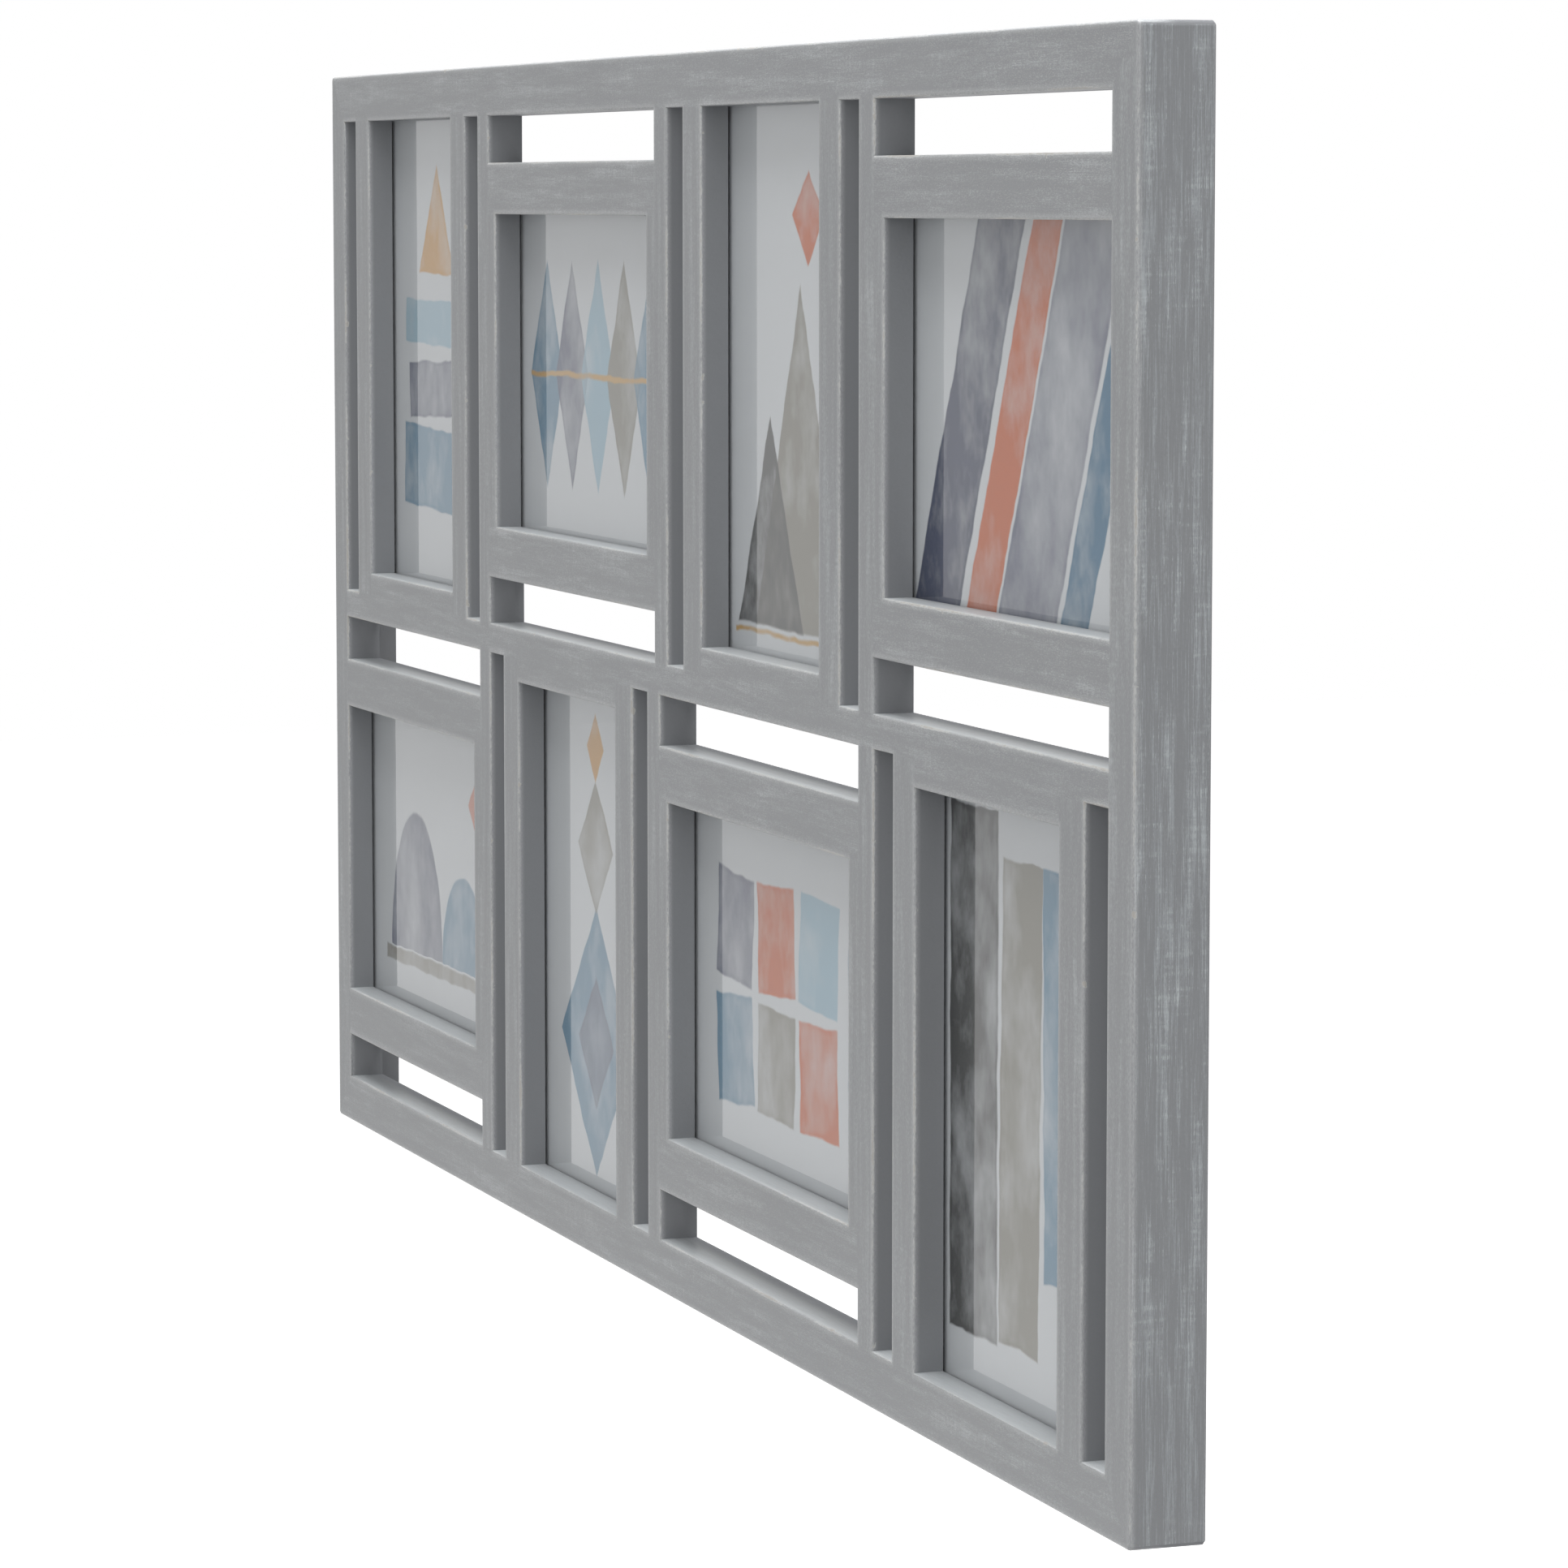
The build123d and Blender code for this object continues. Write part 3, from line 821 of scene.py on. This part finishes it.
# %% Designs of the prints
DESIGNS = {  # form, offset and half sizes in millimetres, turn in degrees, colour and strength
    "r1c1": [
        ("band", (-4, -38), (34, 13), 2, "steel", 1.0),
        ("band", (2, -12), (34, 9), -2, "slate", 0.9),
        ("band", (-2, 9), (34, 7), 1, "sky", 1.0),
        ("peak", (0, 42), (20, 17), 0, "mustard", 1.0),
    ],
    "r1c2": [
        ("lozenge", (-50, 0), (16, 34), 0, "steel", 1.0),
        ("lozenge", (-25, 0), (16, 34), 0, "slate", 0.9),
        ("lozenge", (0, 0), (16, 34), 0, "sky", 1.1),
        ("lozenge", (25, 0), (16, 34), 0, "grey", 1.0),
        ("lozenge", (50, 0), (16, 34), 0, "steel", 1.0),
        ("band", (0, 0), (66, 0.7), 0, "gold", 1.2),
    ],
    "r1c3": [
        ("peak", (8, -20), (36, 46), 0, "grey", 1.1),
        ("peak", (-16, -38), (26, 28), 0, "charcoal", 1.0),
        ("band", (14, 44), (9, 9), 45, "terracotta", 1.0),
        ("band", (0, -68), (44, 0.6), 0, "gold", 1.2),
    ],
    "r1c4": [
        ("band", (-38, 0), (14, 60), 24, "navy", 1.0),
        ("band", (-8, 0), (9, 60), 24, "terracotta", 1.0),
        ("band", (22, 0), (17, 60), 24, "slate", 0.75),
        ("band", (52, 0), (8, 60), 24, "teal", 1.0),
    ],
    "r2c1": [
        ("dome", (-24, -30), (30, 46), 0, "slate", 0.8),
        ("dome", (30, -30), (24, 30), 0, "steel", 1.0),
        ("band", (4, -33), (64, 2.2), 0, "grey", 1.0),
        ("band", (46, 24), (7, 7), 45, "terracotta", 1.0),
    ],
    "r2c2": [
        ("lozenge", (0, -30), (34, 40), 0, "steel", 1.0),
        ("lozenge", (0, -30), (17, 20), 0, "slate", 0.9),
        ("lozenge", (0, 28), (17, 20), 0, "grey", 0.9),
        ("lozenge", (0, 58), (8, 10), 0, "mustard", 1.1),
    ],
    "r2c3": [
        ("band", (-42, 16), (15, 15), 4, "slate", 0.9),
        ("band", (-8, 16), (15, 15), -3, "terracotta", 1.0),
        ("band", (26, 16), (15, 15), 3, "sky", 1.1),
        ("band", (-42, -18), (15, 15), -4, "steel", 1.0),
        ("band", (-8, -18), (15, 15), 2, "grey", 0.9),
        ("band", (26, -18), (15, 15), -2, "terracotta", 0.9),
        ("band", (56, 0), (7, 32), 0, "teal", 0.9),
    ],
    "r2c4": [
        ("band", (-30, 5), (16, 66), 0, "charcoal", 1.0),
        ("band", (1, 0), (13, 60), 1, "grey", 1.1),
        ("band", (25, 10), (9, 50), -1, "steel", 1.0),
        ("band", (42, -20), (6, 44), 0, "olive", 1.0),
    ],
}
print(len(DESIGNS), "designs with", sum(len(design) for design in DESIGNS.values()), "forms")

# %% [markdown]
# ## Paper
# The sheets are white paper with fine fibres. The node of a print is already a flat sheet, so it only
# needs its material. One noise gives the fibres, in tone and relief, and another shifts the coordinates of
# the washes, so that their edges wobble as a brush leaves them.

# %% Prints
PAPER_WHITE = screen_colour(207, 209, 213)
PAPER_FIBRE = screen_colour(187, 189, 192)
FIBRE_SHARE = 0.12
WOBBLE = 1.6 * MM
WOBBLES_PER_METRE = 70.0


def wobbled_place(tree, place):
    """The coordinates, shifted to and fro by noise, for an edge as a brush leaves it."""
    sockets = {"Vector": place, "Scale": WOBBLES_PER_METRE, "Detail": 4.0}
    noise = add_node(tree, "TexNoise", sockets).outputs["Color"]
    sockets = {0: noise, 1: (0.5, 0.5, 0.5)}
    shift = add_node(tree, "VectorMath", sockets, operation="SUBTRACT").outputs[0]
    sockets = {0: shift, "Scale": 2 * WOBBLE}
    shift = add_node(tree, "VectorMath", sockets, operation="SCALE").outputs[0]
    return add_node(tree, "VectorMath", {0: place, 1: shift}, operation="ADD").outputs[0]


def make_print(name):
    material, tree, output, place = new_material("print_" + name)
    low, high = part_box("print_" + name)
    wobbled = wobbled_place(tree, place)
    pools = stretched_noise(tree, place, (22 * MM, 22 * MM, 30 * MM), 5.0, 0.6)
    fibre = even_noise(tree, place, 0.6 * MM)
    fibre_share = calculate(tree, "MULTIPLY", fibre, FIBRE_SHARE)
    tone = blend_colours(tree, fibre_share, PAPER_WHITE, PAPER_FIBRE)
    for wash in DESIGNS[name]:
        tone = add_wash(tree, tone, wobbled, pools, (low + high) / 2, *wash)
    rough = calculate(tree, "MULTIPLY_ADD", fibre, 0.2, 0.5)
    end_in_surface(tree, output, tone, rough, relief(tree, fibre, 0.2, 0.05 * MM))
    return material


for name in picture_names:
    dress(frame["nodes"]["print_" + name], make_print(name))
print(len(picture_names), "prints")

# %% [markdown]
# ## Backing boards
# Behind each print lies a thin hardboard panel. Its back is a warm brown with pressed fibres and a few
# paler flecks. Its grain could be modelled as relief, but it is far too fine, so long and short noise over
# each other give the fibres, and a slight bump takes the shine off.

# %% Hardboard
BOARD_DARK = screen_colour(92, 64, 42)
BOARD_PALE = screen_colour(164, 130, 96)
BOARD_CLOUD = screen_colour(124, 92, 64)
BOARD_FLECK = screen_colour(176, 146, 110)


def make_hardboard():
    material, tree, output, place = new_material("bare_hardboard")
    fibres = stretched_noise(tree, place, (5 * MM, 2 * MM, 0.9 * MM), 4.0, 0.7)
    flecks = stretched_noise(tree, place, (1.2 * MM, 1 * MM, 1.2 * MM), 1.0)
    tone = blend_colours(tree, fibres, BOARD_DARK, BOARD_PALE)
    cloud_share = calculate(tree, "MULTIPLY", even_noise(tree, place, 50 * MM), 0.4)
    tone = blend_colours(tree, cloud_share, tone, BOARD_CLOUD)
    fleck_share = calculate(tree, "MULTIPLY", soft_step(tree, flecks, 0.66, 0.78), 0.5)
    tone = blend_colours(tree, fleck_share, tone, BOARD_FLECK)
    rough = calculate(tree, "MULTIPLY_ADD", fibres, 0.2, 0.65)
    end_in_surface(tree, output, tone, rough, relief(tree, fibres, 0.4, 0.1 * MM))
    return material


hardboard = make_hardboard()
for name in picture_names:
    dress(frame["nodes"]["backing_" + name], hardboard)
print(len(picture_names), "backing boards")

# %% [markdown]
# ## Plated fittings
# The turn buttons, the two sawtooth hangers and their nails are stamped steel with a thin zinc plating.
# Their solids are already right, so they keep them and get a metal whose gloss changes in small patches,
# with fine scratches from the press and from handling.

# %% Zinc plating
ZINC_DARK = screen_colour(148, 148, 146)
ZINC_PALE = screen_colour(196, 196, 192)
PLATED_NAMES = ("turn_button_r", "sawtooth_hanger", "hanger_nails")


def make_plating():
    material, tree, output, place = new_material("zinc_plating")
    scratches = stretched_noise(tree, place, (12 * MM, 0.4 * MM, 0.4 * MM), 3.0, 0.7)
    tone = blend_colours(tree, even_noise(tree, place, 2 * MM), ZINC_DARK, ZINC_PALE)
    rough = calculate(tree, "MULTIPLY_ADD", scratches, 0.25, 0.2)
    end_in_surface(tree, output, tone, rough, relief(tree, scratches, 0.15, 0.03 * MM), metallic=1.0)
    return material


plating = make_plating()
plated_nodes = [name for name in frame["nodes"] if name.startswith(PLATED_NAMES)]
for name in plated_nodes:
    dress(frame["nodes"][name], plating)
print(len(plated_nodes), "plated fittings")

# %% [markdown]
# ## Cross-head screws
# Each turn button pivots on a small screw with a domed head and a cross recess. A cross could be cut out
# of a dome with a boolean, which leaves ragged faces. Here the head starts as a square grid that is pulled
# round into a disc and raised to a dome, so the cross is simply the two middle rows and columns of faces,
# pushed down. The rim is then drawn down to the button.

# %% One screw head
HEAD_CELLS = 10
CELL_WIDTH = 2.0 / HEAD_CELLS
CROSS_REACH = 0.62
CROSS_DEPTH = 0.6 * MM
DOME_SHARE = 0.45
HEAD_RADIUS = 2.7 * MM
HEAD_HEIGHT = 1.5 * MM


def make_head():
    """One head that stands on y = 0 and faces +Y, as a mesh to be repeated."""
    shape = bmesh.new()
    bmesh.ops.create_grid(shape, x_segments=HEAD_CELLS, y_segments=HEAD_CELLS, size=1.0)
    cross = []
    for face in shape.faces:
        near, far = sorted(abs(v) for v in face.calc_center_median().xy)
        if near < CELL_WIDTH and far < CROSS_REACH:
            cross.append(face)
    for vertex in shape.verts:
        x, y = vertex.co.xy
        round_x, round_y = x * math.sqrt(1 - y * y / 2), y * math.sqrt(1 - x * x / 2)
        vertex.co = (round_x, round_y, 1 - DOME_SHARE * (round_x ** 2 + round_y ** 2))
    rim = [edge for edge in shape.edges if edge.is_boundary]
    for element in bmesh.ops.extrude_edge_only(shape, edges=rim)["geom"]:
        if isinstance(element, bmesh.types.BMVert):
            element.co.z = 0
    for element in bmesh.ops.extrude_face_region(shape, geom=cross)["geom"]:
        if isinstance(element, bmesh.types.BMVert):
            element.co.z = 1 - CROSS_DEPTH / HEAD_HEIGHT
    bmesh.ops.delete(shape, geom=cross, context="FACES")
    bmesh.ops.scale(shape, verts=shape.verts, vec=(HEAD_RADIUS, HEAD_RADIUS, HEAD_HEIGHT))
    bmesh.ops.rotate(shape, verts=shape.verts, matrix=Matrix.Rotation(math.radians(-90), 3, "X"))
    bmesh.ops.recalc_face_normals(shape, faces=shape.faces)
    head = bpy.data.meshes.new("screw_head")
    shape.to_mesh(head)
    shape.free()
    return head


head = make_head()
print("screw head with", len(head.polygons), "faces")

# %% [markdown]
# ## A screw for every button
# Every turn button has its screw at its own joint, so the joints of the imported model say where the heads
# go. Sixteen objects could share one mesh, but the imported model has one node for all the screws, and one
# piece with sixteen heads stands for it.

# %% All the screws
head_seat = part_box("turn_button_screws")[1].y - HEAD_HEIGHT
shape = bmesh.new()
for joint in frame["joints"]:
    shape.from_mesh(head)
    shape.verts.ensure_lookup_table()
    seat = Vector((joint["pos_m"][0], head_seat, joint["pos_m"][2]))
    bmesh.ops.translate(shape, verts=shape.verts[-len(head.vertices):], vec=seat)
screws = add_piece("cross_head_screws", shape, "frame", "plated_steel", "turn_button_screws")
dress(screws, plating)

# %% [markdown]
# ## Size
# The dressed frame may not outgrow the imported one, so both boxes are gathered side by side, and the dressed one
# is printed.

# %% Sizes of the model
seen_low, seen_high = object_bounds()
sizes = {"cad": [list(cad_low), list(cad_high)], "visual": [list(seen_low), list(seen_high)]}
print("dressed from", [round(v, 4) for v in seen_low], "to", [round(v, 4) for v in seen_high])
